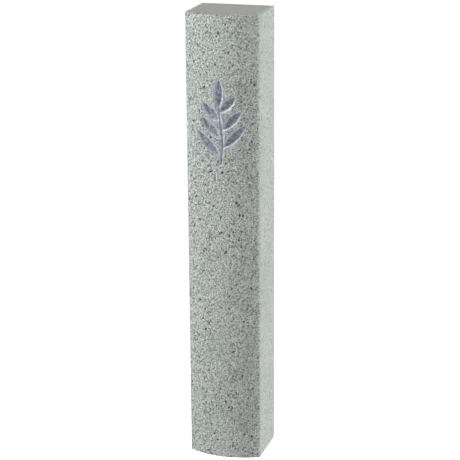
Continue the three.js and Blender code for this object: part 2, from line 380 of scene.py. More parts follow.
def wall_vertices(plan, rows):
    """The outer wall's points, with each one's coarseness, grain and pit depth as a share of DARKEST_PIT."""
    normals = plan_normals(plan)
    loop = np.array([(x, y) for x, y, _ in plan])
    steps = np.linalg.norm(np.roll(loop, -1, axis=0) - loop, axis=1)
    along_plan = np.concatenate([[0], np.cumsum(steps)[:-1]])
    front_length = along_plan[sum(1 for _, _, c in plan if c == FRONT_COARSE)]
    along = np.tile(along_plan, len(rows))
    heights = np.repeat([z for _, z, _ in rows], len(plan))
    pits = pit_depths(along, heights, steps.sum(), front_length)
    flat = np.stack([np.tile(loop[:, 0], len(rows)), heights], axis=1)
    carved = np.zeros(len(flat))
    on_front = np.tile([c == FRONT_COARSE for _, _, c in plan], len(rows))
    near = on_front & (flat[:, 1] > SPRIG_FOOT_Z - MM) & (flat[:, 1] < SPRIG_TOP_Z + MM)
    carved[near] = groove_depth(sprig_distance(flat[near]))
    vertices = []
    coarseness = []
    reliefs = []
    for r, (inset, z, lean) in enumerate(rows):
        for c, (x, y, coarse) in enumerate(plan):
            i = r * len(plan) + c
            outward = Vector((normals[c][0], normals[c][1], 0))
            base = Vector((x, y, z)) - outward * inset
            outward = outward * math.sqrt(max(0.0, 1 - lean * lean)) + Vector((0, 0, lean))
            kept = kept_relief(carved[i])
            relief = grain(base)
            shifted = base + outward * kept * ((relief - 1) * grain_amplitude(coarse) - pits[i])
            shifted.y += carved[i]
            vertices.append(shifted)
            coarseness.append(coarse)
            reliefs.append(relief)
    return vertices, coarseness, reliefs, pits / DARKEST_PIT


def ring_faces(start_a, start_b, count):
    """Quads between two rings of points of equal length, ring b beyond ring a."""
    faces = []
    for i in range(count):
        after = (i + 1) % count
        faces.append((start_a + i, start_a + after, start_b + after, start_b + i))
    return faces


TOP_RING_SHARES = (0.06, 0.16, 0.3, 0.45, 0.6, 0.75, 0.9)


def top_rings(count, vertices, faces, rim_start):
    """The closed top end, as rings that shrink towards its middle."""
    rim = [Vector(v) for v in vertices[rim_start : rim_start + count]]
    middle = Vector((0, (CORNER_Y + BACK_Y) / 2, HEIGHT))
    previous = rim_start
    for share in TOP_RING_SHARES:
        start = len(vertices)
        for point in rim:
            place = point.lerp(middle, share)
            wave = (grain(place) - 1) * grain_amplitude(END_COARSE)
            vertices.append(Vector((place.x, place.y, HEIGHT + wave)))
        faces.extend(ring_faces(previous, start, count))
        previous = start
    vertices.append(middle - Vector((0, 0, grain_amplitude(END_COARSE))))
    faces.extend((previous + i, previous + (i + 1) % count, len(vertices) - 1) for i in range(count))


MOUTH_CHAMFER = 0.25 * MM
END_RING_SHARES = (0.15, 0.5, 1.0)
BORE_RING_SHARES = (0.05, 0.2, 0.4, 0.6, 0.8, 1.0)
BORE_END_SHARE = 0.6
BORE_END_RISE = 0.5 * MM
BORE_DOME = 0.8 * MM


def mouth_size(angle):
    """The mouth's radius and depth at an angle: the flange's seat, or the fingernail notch on the +X side."""
    off_axis = NOTCH_OFFSET * math.sin(angle)
    if math.cos(angle) <= 0 or abs(off_axis) >= NOTCH_RADIUS:
        return SEAT_RADIUS, SEAT_DEPTH
    far_side = NOTCH_OFFSET * math.cos(angle) + math.sqrt(NOTCH_RADIUS**2 - off_axis**2)
    if far_side <= SEAT_RADIUS:
        return SEAT_RADIUS, SEAT_DEPTH
    return far_side, NOTCH_DEPTH


def bottom_rings(count, vertices, faces, rim_start):
    """The bottom end, the stepped mouth and the blind bore, as rings that go inwards and then up."""
    rim = [Vector(v) for v in vertices[rim_start : rim_start + count]]
    angles = [math.atan2(v.y - BORE_Y, v.x) for v in rim]
    mouth_radii = [mouth_size(a)[0] for a in angles]
    mouth_depths = [mouth_size(a)[1] for a in angles]

    def bore_ring(radii, heights):
        ring = []
        for a, r, z in zip(angles, radii, heights):
            ring.append(Vector((r * math.cos(a), BORE_Y + r * math.sin(a), z)))
        return ring

    outer = bore_ring([r + MOUTH_CHAMFER for r in mouth_radii], [0.0] * count)
    rings = [[p.lerp(q, share) for p, q in zip(rim, outer)] for share in END_RING_SHARES]
    rings.append(bore_ring(mouth_radii, [MOUTH_CHAMFER] * count))
    rings.append(bore_ring(mouth_radii, mouth_depths))
    rings.append(bore_ring([BORE_RADIUS + MOUTH_CHAMFER] * count, mouth_depths))
    rings.append(bore_ring([BORE_RADIUS] * count, [depth + MOUTH_CHAMFER for depth in mouth_depths]))
    for share in BORE_RING_SHARES:
        height = NOTCH_DEPTH + (BORE_TOP - NOTCH_DEPTH) * share
        rings.append(bore_ring([BORE_RADIUS] * count, [height] * count))
    rings.append(bore_ring([BORE_RADIUS * BORE_END_SHARE] * count, [BORE_TOP + BORE_END_RISE] * count))
    previous = rim_start
    for ring in rings:
        start = len(vertices)
        vertices.extend(ring)
        faces.extend(ring_faces(start, previous, count))
        previous = start
    vertices.append(Vector((0, BORE_Y, BORE_TOP + BORE_DOME)))
    faces.extend((previous + (i + 1) % count, previous + i, len(vertices) - 1) for i in range(count))


END_RELIEF = 0.3


def make_case_body(material):
    """The casting: its outer wall with the engraving, its top end, and its bottom end with the bore."""
    plan = body_plan()
    rows = body_rows()
    count = len(plan)
    vertices, coarse, relief, pitted = wall_vertices(plan, rows)
    on_wall = len(vertices)
    faces = []
    for r in range(len(rows) - 1):
        faces.extend(ring_faces(r * count, (r + 1) * count, count))
    top_rings(count, vertices, faces, (len(rows) - 1) * count)
    bottom_rings(count, vertices, faces, 0)
    on_ends = len(vertices) - on_wall
    piece = new_object("cast_body", vertices, faces)
    point_attribute(piece, "coarse", list(coarse) + [END_COARSE] * on_ends)
    point_attribute(piece, "relief", list(relief) + [END_RELIEF] * on_ends)
    point_attribute(piece, "pitted", list(pitted) + [0.0] * on_ends)
    stand_for(piece, "case_body", "case", material)


# ---------------------------------------------------------------- the paint in the engraving
PAINT_CELL = 0.2 * MM
PAINT_EDGE = 0.1 * MM
PAINT_FILM = 0.05 * MM
PAINT_LIFT = 1.4 * PAINT_FILM
SLOPE_STEP = 0.01 * MM


def paint_grid():
    """A grid of (x, z) points over the sprig, its row and column counts, and which points are under paint.

    Points outside the paint are moved along the distance's slope onto its edge, which lies PAINT_EDGE inside
    the sprig's."""
    xs = np.arange(PAINT_LOW.x - MM, PAINT_HIGH.x + MM, PAINT_CELL)
    zs = np.arange(PAINT_LOW.z - MM, PAINT_HIGH.z + MM, PAINT_CELL)
    grid = np.stack(np.meshgrid(xs, zs), axis=-1).reshape(-1, 2)
    distance = sprig_distance(grid) - PAINT_EDGE
    step_x = (SLOPE_STEP, 0)
    step_z = (0, SLOPE_STEP)
    slope_x = (sprig_distance(grid + step_x) - sprig_distance(grid - step_x)) / (2 * SLOPE_STEP)
    slope_z = (sprig_distance(grid + step_z) - sprig_distance(grid - step_z)) / (2 * SLOPE_STEP)
    painted = distance > 0
    bare = ~painted
    grid[bare, 0] -= (distance * slope_x)[bare]
    grid[bare, 1] -= (distance * slope_z)[bare]
    return grid, len(zs), len(xs), painted


def make_emblem_paint(material):
    """A thin coat that follows the groove's surface, trimmed to just inside the sprig's outline."""
    grid, rows, columns, painted = paint_grid()
    depth = groove_depth(sprig_distance(grid))
    used = {}
    vertices = []
    sunk = []
    faces = []

    def vertex(index):
        """The number of the vertex at a grid point, which is made when it is first used."""
        if index not in used:
            x, z = grid[index]
            y = FRONT_ARC_Y - math.sqrt(FRONT_RADIUS**2 - x * x)
            relief = (grain(Vector((x, y, z))) - 1) * grain_amplitude(FRONT_COARSE)
            relief *= kept_relief(depth[index])
            used[index] = len(vertices)
            vertices.append((x, y + depth[index] - relief - PAINT_LIFT, z))
            sunk.append(depth[index] / SPRIG_DEPTH)
        return used[index]

    for row in range(rows - 1):
        for column in range(columns - 1):
            a = row * columns + column
            corners = (a, a + 1, a + columns + 1, a + columns)
            if any(painted[i] for i in corners):
                faces.append([vertex(i) for i in corners])
    piece = new_object("sprig_paint", vertices, faces)
    point_attribute(piece, "sunk", sunk)
    solid = piece.modifiers.new("film", "SOLIDIFY")
    solid.thickness = PAINT_FILM
    solid.offset = -1
    apply_modifiers(piece)
    stand_for(piece, "emblem_paint", "case", material)


def apply_modifiers(piece):
    """Turns what the piece's modifiers show into its own mesh."""
    graph = bpy.context.evaluated_depsgraph_get()
    graph.update()
    final = bpy.data.meshes.new_from_object(piece.evaluated_get(graph))
    piece.modifiers.clear()
    piece.data = final


# ---------------------------------------------------------------- stopper, scroll and sleeve
# AXIS_GAP is the radius of the first and last rings, which the ends' middle points close.
TURN_STEPS = 96
AXIS_GAP = 0.6 * MM
FLANGE_HEIGHT = 1.5 * MM
STOPPER_EASE = 0.25 * MM
STOPPER_CORE = 5.8 * MM
STOPPER_TIP = 5.2 * MM
TIP_TAPER = 1.2 * MM
RIB_RADIUS = 6.35 * MM
RIB_MIDDLES = (4.6 * MM, 7.8 * MM, 11 * MM)
RIB_HALF_HEIGHT = 0.8 * MM
RIB_STEPS = 5
RIB_ROUNDING = 0.8
DISH_RADIUS = 5.4 * MM
DISH_DEPTH = 0.35 * MM
DISH_WALL = 0.8 * MM
DISH_LIP = 0.3 * MM


def turned_piece(name, profile):
    """A profile of (radius, height) points turned about the bore's axis and closed on it at both ends."""
    vertices = []
    faces = []
    previous = None
    for radius, z in profile:
        start = len(vertices)
        for i in range(TURN_STEPS):
            angle = 2 * math.pi * i / TURN_STEPS
            vertices.append((radius * math.cos(angle), BORE_Y + radius * math.sin(angle), z))
        if previous is not None:
            faces.extend(ring_faces(previous, start, TURN_STEPS))
        previous = start
    first_end = len(vertices)
    last_end = first_end + 1
    vertices += [(0, BORE_Y, profile[0][1]), (0, BORE_Y, profile[-1][1])]
    for i in range(TURN_STEPS):
        after = (i + 1) % TURN_STEPS
        faces.append((after, i, first_end))
        faces.append((previous + i, previous + after, last_end))
    return new_object(name, vertices, faces)


def flange_profile(low, radius):
    """The stopper's dished underside and its flange with eased edges, from the axis outwards and back in."""
    top = low + FLANGE_HEIGHT
    ease = STOPPER_EASE
    return [
        (AXIS_GAP, low + DISH_DEPTH),
        (DISH_RADIUS - DISH_WALL, low + DISH_DEPTH),
        (DISH_RADIUS - DISH_LIP, low + 0.3 * DISH_DEPTH),
        (DISH_RADIUS, low),
        (radius - 2 * ease, low),
        (radius - 0.7 * ease, low + 0.25 * ease),
        (radius, low + ease),
        (radius, top - ease),
        (radius - 0.3 * ease, top - 0.3 * ease),
        (radius - ease, top),
        (STOPPER_CORE + ease, top),
        (STOPPER_CORE, top + ease),
    ]


def rib_profile(middle):
    """One rounded rib round the stopper's core."""
    points = []
    for turn in range(-RIB_STEPS, RIB_STEPS + 1):
        share = turn / RIB_STEPS
        bulge = math.cos(share * math.pi / 2) ** RIB_ROUNDING
        points.append((STOPPER_CORE + (RIB_RADIUS - STOPPER_CORE) * bulge, middle + share * RIB_HALF_HEIGHT))
    return points


def make_stopper(material):
    """The rubber stopper: a flange, a core with three ribs and a tapered tip."""
    high = STOPPER_HIGH.z
    profile = flange_profile(STOPPER_LOW.z, (STOPPER_HIGH.x - STOPPER_LOW.x) / 2)
    for middle in RIB_MIDDLES:
        profile += rib_profile(middle)
    profile += [(STOPPER_CORE, high - TIP_TAPER), (STOPPER_TIP + 0.2 * MM, high - STOPPER_EASE)]
    profile += [(STOPPER_TIP, high), (AXIS_GAP, high)]
    stand_for(turned_piece("rubber_stopper", profile), "stopper", "stopper", material)


# WANDER_HEIGHT is how far up the scroll one wander of its turns reaches.
SHEET_TURNS = 5.5
STEPS_PER_TURN = 48
SHEET_LEVELS = 60
SHEET_CORE = 2 * MM
SHEET_PITCH = 0.5 * MM
SHEET_THICKNESS = 0.25 * MM
SHEET_SLACK = 0.04 * MM
SHEET_WANDER = 0.05 * MM
WANDER_HEIGHT = 9 * MM
EDGE_WAVE = 0.12 * MM


def sheet_point(step, share, side):
    """A point of the rolled sheet: its step along the spiral, share of the height and side (0 is inner)."""
    z = SHEET_LOW.z + (SHEET_HIGH.z - SHEET_LOW.z) * share
    turns = step / STEPS_PER_TURN
    angle = 2 * math.pi * turns
    wander = SHEET_WANDER * noise.noise(Vector((turns * 2, z / WANDER_HEIGHT, 0)))
    radius = SHEET_CORE + turns * SHEET_PITCH + wander
    radius += (SHEET_THICKNESS - SHEET_SLACK) * side
    wave = EDGE_WAVE * abs(noise.noise(Vector((turns * 3, share * 9, 4))))
    if share == 0:
        z += wave
    if share == 1:
        z -= wave
    return radius * math.cos(angle), BORE_Y + radius * math.sin(angle), z


def make_scroll(material):
    """One rolled sheet: a spiral in plan whose turns wander a little along its length.

    Each level is a ring that runs out along the sheet's inner side and back along its outer side."""
    steps = round(SHEET_TURNS * STEPS_PER_TURN)
    vertices = []
    faces = []
    for level in range(SHEET_LEVELS + 1):
        share = level / SHEET_LEVELS
        vertices.extend(sheet_point(i, share, 0) for i in range(steps + 1))
        vertices.extend(sheet_point(i, share, 1) for i in range(steps, -1, -1))
    ring = 2 * (steps + 1)
    for level in range(SHEET_LEVELS):
        faces.extend(ring_faces((level + 1) * ring, level * ring, ring))
    for start in (0, SHEET_LEVELS * ring):
        for i in range(steps):
            faces.append((start + i, start + i + 1, start + ring - 2 - i, start + ring - 1 - i))
    piece = new_object("rolled_parchment", vertices, faces)
    recalculate_normals(piece)
    stand_for(piece, "parchment_scroll", "scroll", material)


def recalculate_normals(piece):
    """Turns every face outwards on a closed piece."""
    work = bmesh.new()
    work.from_mesh(piece.data)
    bmesh.ops.recalc_face_normals(work, faces=work.faces)
    work.to_mesh(piece.data)
    work.free()


# LAP_START and LAP_RISE are angles in radians, and FILM_INSET is how far the film lies inside its box.
FILM = 0.08 * MM
FILM_AROUND = 120
FILM_LEVELS = 130
FILM_INSET = 0.2 * MM
CRINKLE = 0.06 * MM
CRINKLE_HEIGHT = 5 * MM
FINE_CRINKLE_SHARE = 0.6
FINE_CRINKLE_SCALE = 2.7
LAP_START = 5.6
LAP_RISE = 0.08


def film_point(i, level, thickness):
    """A point of the film, a thickness inside its outer surface. Past LAP_START it steps out over itself."""
    z = SLEEVE_LOW.z + (SLEEVE_HIGH.z - SLEEVE_LOW.z) * level / FILM_LEVELS
    angle = 2 * math.pi * i / FILM_AROUND
    place = Vector((math.cos(angle) * 2, math.sin(angle) * 2, z / CRINKLE_HEIGHT))
    fine = noise.noise(place * FINE_CRINKLE_SCALE)
    crinkle = CRINKLE * (noise.noise(place) + FINE_CRINKLE_SHARE * fine)
    lap = FILM * float(smooth_step((angle - LAP_START) / LAP_RISE))
    radius = (SLEEVE_HIGH.x - SLEEVE_LOW.x) / 2 - FILM_INSET + crinkle - thickness + lap
    return radius * math.cos(angle), BORE_Y + radius * math.sin(angle), z


def make_sleeve(material):
    """A clear film round the scroll, slightly crinkled, with a lap along one side."""
    around = FILM_AROUND
    vertices = []
    faces = []
    for thickness in (0.0, FILM):
        for level in range(FILM_LEVELS + 1):
            vertices.extend(film_point(i, level, thickness) for i in range(around))
    inner = (FILM_LEVELS + 1) * around
    for level in range(FILM_LEVELS):
        faces.extend(ring_faces(level * around, (level + 1) * around, around))
        faces.extend(ring_faces(inner + (level + 1) * around, inner + level * around, around))
    faces.extend(ring_faces(inner, 0, around))
    faces.extend(ring_faces(FILM_LEVELS * around, inner + FILM_LEVELS * around, around))
    stand_for(new_object("film_sleeve", vertices, faces), "scroll_sleeve", "scroll", material)


# ---------------------------------------------------------------- pads and liners
PAD_CORNER = 1.5 * MM
QUARTER_STEPS = 6
PAD_CELL = 0.8 * MM
FOAM_CELL = 0.8 * MM
FOAM_BUMP = 0.03 * MM
LINER_CELL = 1.0 * MM
LINER_NEAR_GAP = 0.02 * MM
LINER_FAR_GAP = 0.08 * MM
RIPPLE = 0.02 * MM
RIPPLE_LENGTH = 6 * MM
TAB_LENGTH = 3 * MM
TAB_LIFT = 0.5 * MM
EDGE_CLEARANCE = 0.35
MERGE_DISTANCE = 1e-9


def rounded_outline(half_width, half_height):
    """A rounded rectangle as (x, z) points."""
    points = []
    for quarter in range(4):
        middle_x = (half_width - PAD_CORNER) * (1 if quarter in (0, 3) else -1)
        middle_z = (half_height - PAD_CORNER) * (1 if quarter in (0, 1) else -1)
        for i in range(QUARTER_STEPS + 1):
            angle = math.pi / 2 * (quarter + i / QUARTER_STEPS)
            x = middle_x + PAD_CORNER * math.cos(angle)
            z = middle_z + PAD_CORNER * math.sin(angle)
            points.append((x, z))
    return points


def grid_inside(outline, half_width, half_height, cell):
    """Grid points that lie inside an outline and clear of its edge."""
    points = []
    for i in range(1, round(2 * half_width / cell)):
        for j in range(1, round(2 * half_height / cell)):
            points.append((-half_width + i * cell, -half_height + j * cell))
    distance = inside_distance(np.array(points), outline)
    return [p for p, d in zip(points, distance) if d > EDGE_CLEARANCE * cell]


def back_sheet(name, node, cell, surface):
    """A flat piece on the case's back, as a fine grid cut to a rounded rectangle.

    surface(x, z, share) is how far a point stands out from its box's near face (share 0) or far face
    (share 1)."""
    low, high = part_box(node)
    half_width = (high.x - low.x) / 2
    half_height = (high.z - low.z) / 2
    middle = Vector(((low.x + high.x) / 2, 0, (low.z + high.z) / 2))
    outline = rounded_outline(half_width, half_height)
    around = len(outline)
    points = [Vector(p) for p in outline + grid_inside(outline, half_width, half_height, cell)]
    edges = [(i, (i + 1) % around) for i in range(around)]
    flat, _, triangles, *_ = geometry.delaunay_2d_cdt(points, edges, [], 1, MERGE_DISTANCE)
    count = len(flat)
    vertices = []
    for share, face_y in ((0, low.y), (1, high.y)):
        for p in flat:
            vertices.append((middle.x + p.x, face_y + surface(p.x, p.y, share), middle.z + p.y))
    faces = [tuple(reversed(t)) for t in triangles]
    faces += [tuple(i + count for i in t) for t in triangles]
    faces += [(a, b, count + b, count + a) for a, b in edges]
    piece = new_object(name, vertices, faces)
    recalculate_normals(piece)
    return piece


def make_pad(name, node, material):
    """A foam pad: flat where it meets the case and slightly bumpy on its outer face."""

    def foam(x, z, share):
        bumps = noise.noise(Vector((x, z, share)) / FOAM_CELL) * FOAM_BUMP
        return bumps - FOAM_BUMP if share else 0.0

    piece = back_sheet(name, node, PAD_CELL, foam)
    stand_for(piece, node, "case", material)


def make_liner(name, node, body, material):
    """A release liner with a faint ripple, whose top edge lifts as a tab."""
    low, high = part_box(node)
    tab_start = (high.z - low.z) / 2 - TAB_LENGTH

    def paper(x, z, share):
        ripple = RIPPLE * noise.noise(Vector((x, z, 3)) / RIPPLE_LENGTH)
        lift = max(0.0, z - tab_start) ** 2 / TAB_LENGTH**2 * TAB_LIFT
        return ripple + lift + (-LINER_FAR_GAP if share else LINER_NEAR_GAP)

    stand_for(back_sheet(name, node, LINER_CELL, paper), node, body, material)


# ---------------------------------------------------------------- materials
class Nodes:
    """A short way to write a material's nodes: add gives the node it makes, and the others give an output."""

    def __init__(self, name):
        self.material = bpy.data.materials.new(name)
        self.material.use_nodes = True
        self.tree = self.material.node_tree
        self.shader = next(n for n in self.tree.nodes if n.type == "BSDF_PRINCIPLED")
        self.place = self.tree.nodes.new("ShaderNodeTexCoord").outputs["Object"]

    def link(self, source, socket):
        self.tree.links.new(source, socket)

    def set(self, socket, value):
        """Links an output to a socket, or gives the socket a plain value."""
        if isinstance(value, bpy.types.NodeSocket):
            self.link(value, socket)
        else:
            socket.default_value = value

    def add(self, kind, settings=None, **inputs):
        """A node with its settings and inputs. An input has its socket's name, or i0, i1 ... by position."""
        node = self.tree.nodes.new(kind)
        for key, value in (settings or {}).items():
            setattr(node, key, value)
        for key, value in inputs.items():
            by_position = key[0] == "i" and key[1:].isdigit()
            self.set(node.inputs[int(key[1:]) if by_position else key], value)
        return node

    def scaled(self, per_mm):
        """Object coordinates times a number of features per millimetre."""
        made = self.add("ShaderNodeVectorMath", {"operation": "SCALE"}, i0=self.place, Scale=per_mm / MM)
        return made.outputs[0]

    def noise(self, per_mm, detail=2.0, rough=0.5):
        place = self.scaled(per_mm)
        made = self.add("ShaderNodeTexNoise", None, Vector=place, Scale=1.0, Detail=detail, Roughness=rough)
        return made.outputs["Fac"]

    def second_noise(self, per_mm, detail, offset):
        """A second pattern of the same kind, shifted so that it doesn't follow the first."""
        moved = self.add("ShaderNodeVectorMath", {"operation": "ADD"}, i0=self.scaled(per_mm), i1=offset)
        made = self.add("ShaderNodeTexNoise", None, Vector=moved.outputs[0], Scale=1.0, Detail=detail)
        return made.outputs["Fac"]

    def cells(self, per_mm, feature="F1"):
        return self.add("ShaderNodeTexVoronoi", {"feature": feature}, Vector=self.scaled(per_mm), Scale=1.0)

    def math(self, operation, a, b, c=0.0):
        return self.add("ShaderNodeMath", {"operation": operation}, i0=a, i1=b, i2=c).outputs[0]

    def times(self, a, b):
        return self.math("MULTIPLY", a, b)

    def remap(self, value, low, high, to_low=0.0, to_high=1.0):
        """An S-shaped rise, or fall, from to_low at low to to_high at high, and flat beyond them."""
        made = self.add("ShaderNodeMapRange", {"interpolation_type": "SMOOTHSTEP"}, Value=value)
        for socket, number in zip(made.inputs[1:5], (low, high, to_low, to_high)):
            socket.default_value = number
        return made.outputs[0]

    def mix(self, factor, a, b):
        """Colour a where the factor is 0 and colour b where it is 1."""
        made = self.add("ShaderNodeMix", {"data_type": "RGBA"}, i0=factor, i6=a, i7=b)
        return made.outputs[2]

    def attribute(self, name):
        return self.add("ShaderNodeAttribute", {"attribute_name": name}).outputs["Fac"]

    def bump(self, height, distance):
        return self.add("ShaderNodeBump", None, Height=height, Distance=distance).outputs[0]


def linear(red, green, blue):
    """A colour given in 0-255 screen values, as a linear colour."""
    parts = [v / 255 for v in (red, green, blue)]
    return [p / 12.92 if p <= 0.04045 else ((p + 0.055) / 1.055) ** 2.4 for p in parts] + [1.0]


def dots(n, per_mm, largest, softness):
    """Round dots, one in each cell at most, of random size and strength."""
    cells = n.cells(per_mm)
    chance = n.add("ShaderNodeSeparateColor", None, Color=cells.outputs["Color"])
    size = n.remap(chance.outputs[0], 0.1, 1.0, 0.3 * largest, largest)
    edge = n.math("SUBTRACT", size, cells.outputs["Distance"])
    return n.times(n.remap(edge, 0.0, softness), n.remap(chance.outputs[1], 0.2, 1.0, 0.1, 1.0))


# The stone's patterns, in features per millimetre, the height of its relief and the dots' share of it.
CLOUDS_PER_MM = 0.07
DARK_GRAINS_PER_MM = 1.9
PALE_GRAINS_PER_MM = 2.0
FINE_DOTS_PER_MM = 1.6
LARGE_DOTS_PER_MM = 0.7
SPECKS_PER_MM = 0.55
BUMPS_PER_MM = 1.6
FINE_BUMPS_PER_MM = 6.5
STONE_RELIEF = 1.0 * MM
DOT_DEPTH_SHARE = 0.35


def stone_colour(n, coarse, strength, fine, large):
    """Clouded grey-green with painted shade in its creases, dark and pale grains, and dark dots: plainer
    where it is smoother.
    """
    clouds = n.remap(n.noise(CLOUDS_PER_MM, 3.0), 0.3, 0.7)
    colour = n.mix(clouds, linear(147, 153, 148), linear(154, 159, 155))
    colour = n.mix(n.remap(coarse, 0.0, 0.15), linear(135, 133, 130), colour)
    # Painted shade: darker in the grain's creases, where the relief attribute is low, more so where it is
    # coarser.
    crease_shade = n.times(n.remap(n.attribute("relief"), -0.8, 0.1, 0.6, 0.0), coarse)
    colour = n.mix(crease_shade, colour, linear(102, 107, 103))
    dark_grain = n.remap(n.noise(DARK_GRAINS_PER_MM, 0.0), 0.5, 0.66)
    colour = n.mix(n.times(dark_grain, n.times(strength, 0.62)), colour, linear(88, 93, 89))
    pale_grain = n.remap(n.second_noise(PALE_GRAINS_PER_MM, 0.0, (3, 9, 4)), 0.5, 0.66)
    colour = n.mix(n.times(pale_grain, n.times(strength, 0.34)), colour, linear(202, 206, 202))
    colour = n.mix(n.times(fine, 0.95), colour, linear(62, 67, 64))
    return n.mix(large, colour, linear(64, 69, 66))


def stone_marks(n, coarse, colour):
    """The colour with dark specks on the sides and back, and the mesh's own pits darkened as dirt and painted
    shade.
    """
    flank = n.times(n.remap(coarse, 0.1, 0.24), n.remap(coarse, 0.95, 0.7))
    specks = n.times(dots(n, SPECKS_PER_MM, 0.28, 0.09), flank)
    colour = n.mix(n.times(specks, 0.9), colour, linear(70, 75, 72))
    # Dirt and painted shade: each pit darkens with its depth.
    pits = n.remap(n.attribute("pitted"), 0.05, 0.8)
    return n.mix(n.times(pits, 0.9), colour, linear(48, 52, 50))


def stone_relief(n, coarse, fine, large):
    """Sandy bumps, lower where the casting is smoother, with a hollow at each dot."""
    sand = n.math("ADD", n.noise(BUMPS_PER_MM, 1.0, 0.6), n.times(n.noise(FINE_BUMPS_PER_MM, 2.0), 0.1))
    sand = n.times(sand, n.math("MULTIPLY_ADD", coarse, 0.75, 0.25))
    hollows = n.times(n.math("ADD", fine, large), DOT_DEPTH_SHARE)
    return n.bump(n.math("SUBTRACT", sand, hollows), STONE_RELIEF)


def stone_material():
    """Cast stone effect: pale grey-green and sandy, with most of its dark pits and dots on the front."""
    n = Nodes("cast_stone")
    coarse = n.attribute("coarse")
    strength = n.math("MULTIPLY_ADD", coarse, 0.6, 0.4)
    fine = n.times(dots(n, FINE_DOTS_PER_MM, 0.47, 0.16), strength)
    large = n.times(dots(n, LARGE_DOTS_PER_MM, 0.28, 0.12), n.remap(coarse, 0.1, 0.9))
    colour = stone_marks(n, coarse, stone_colour(n, coarse, strength, fine, large))
    n.link(colour, n.shader.inputs["Base Color"])
    n.shader.inputs["Roughness"].default_value = 0.82
    n.shader.inputs["Specular IOR Level"].default_value = 0.3
    n.link(stone_relief(n, coarse, fine, large), n.shader.inputs["Normal"])
    return n.material


def paint_material():
    """Blue-grey paint in the engraving: pale at its rim, partly wear and partly painted highlight, and darker
    towards its floor as painted shade.
    """
    n = Nodes("sprig_paint")
    blotch = n.noise(0.7, 4.0, 0.7)
    unevenness = n.times(n.math("SUBTRACT", blotch, 0.5), 1.3)
    # Painted light and shade: the paint is paler near the groove's rim and darker with depth towards its
    # floor.
    level = n.math("ADD", n.attribute("sunk"), unevenness)
    colour = n.mix(n.remap(level, 0.1, 0.5), linear(180, 184, 190), linear(146, 152, 161))
    colour = n.mix(n.remap(level, 0.6, 1.1), colour, linear(84, 91, 102))
    fleck = n.remap(n.noise(3.0, 2.0, 0.7), 0.52, 0.64)
    colour = n.mix(n.times(fleck, 0.6), colour, linear(66, 72, 84))
    glint = n.remap(n.second_noise(2.7, 2.0, (5, 2, 8)), 0.54, 0.68)
    colour = n.mix(n.times(glint, 0.6), colour, linear(194, 200, 212))
    n.link(colour, n.shader.inputs["Base Color"])
    n.shader.inputs["Metallic"].default_value = 0.2
    n.link(n.remap(blotch, 0.3, 0.7, 0.48, 0.66), n.shader.inputs["Roughness"])
    n.link(n.bump(n.noise(2.4, 3.0, 0.7), 0.25 * MM), n.shader.inputs["Normal"])
    return n.material


def rubber_material():
    """Matt black rubber with a little pale dust."""
    n = Nodes("black_rubber")
    dust = n.remap(n.noise(0.7, 4.0, 0.65), 0.45, 0.75, 0.0, 0.5)
    n.link(n.mix(dust, linear(44, 44, 46), linear(84, 84, 84)), n.shader.inputs["Base Color"])
    n.link(n.remap(n.noise(1.5, 2.0), 0.3, 0.7, 0.6, 0.82), n.shader.inputs["Roughness"])
    n.link(n.bump(n.noise(6.0, 2.0), 0.03 * MM), n.shader.inputs["Normal"])
    return n.material


def parchment_material():
    """Scraped skin: warm cream with paler clouds, faint veins and follicle dots."""
    n = Nodes("parchment")
    cloud = n.noise(0.18, 5.0, 0.6)
    colour = n.mix(n.remap(cloud, 0.3, 0.7), linear(192, 170, 128), linear(214, 199, 164))
    vein = n.cells(0.22, "DISTANCE_TO_EDGE").outputs["Distance"]
    colour = n.mix(n.remap(vein, 0.0, 0.05, 0.28, 0.0), colour, linear(158, 128, 88))
    follicles = n.remap(n.cells(1.6).outputs["Distance"], 0.05, 0.2, 0.3, 0.0)
    colour = n.mix(follicles, colour, linear(150, 124, 86))
    n.link(colour, n.shader.inputs["Base Color"])
    n.shader.inputs["Subsurface Weight"].default_value = 0.15
    n.shader.inputs["Subsurface Radius"].default_value = (0.0009, 0.0006, 0.0003)
    n.link(n.remap(cloud, 0.3, 0.7, 0.55, 0.75), n.shader.inputs["Roughness"])
    n.link(n.bump(n.noise(1.4, 4.0, 0.6), 0.04 * MM), n.shader.inputs["Normal"])
    return n.material


def film_material():
    """Clear film: nearly transparent, glossy and a little hazy in places."""
    n = Nodes("clear_film")
    n.shader.inputs["Base Color"].default_value = (0.93, 0.95, 0.96, 1)
    haze = n.remap(n.noise(0.3, 4.0, 0.6), 0.35, 0.75, 0.05, 0.16)
    n.link(haze, n.shader.inputs["Alpha"])
    n.link(n.remap(n.noise(0.5, 3.0), 0.3, 0.7, 0.06, 0.2), n.shader.inputs["Roughness"])
    n.link(n.bump(n.noise(0.45, 3.0, 0.6), 0.12 * MM), n.shader.inputs["Normal"])
    return n.material


def foam_material():
    """Pale closed-cell foam: packed round cells a few tenths of a millimetre across, with painted shade in
    each cell's hollow.
    """
    n = Nodes("foam_tape")
    cell = n.cells(3.2).outputs["Distance"]
    # Painted shade: each cell is darker in its middle, where its bump sinks.
    colour = n.mix(n.remap(cell, 0.1, 0.6), linear(180, 180, 175), linear(200, 200, 196))
    n.link(colour, n.shader.inputs["Base Color"])
    n.link(n.remap(cell, 0.1, 0.6, 0.95, 0.8), n.shader.inputs["Roughness"])
    n.link(n.bump(cell, 0.08 * MM), n.shader.inputs["Normal"])
    return n.material


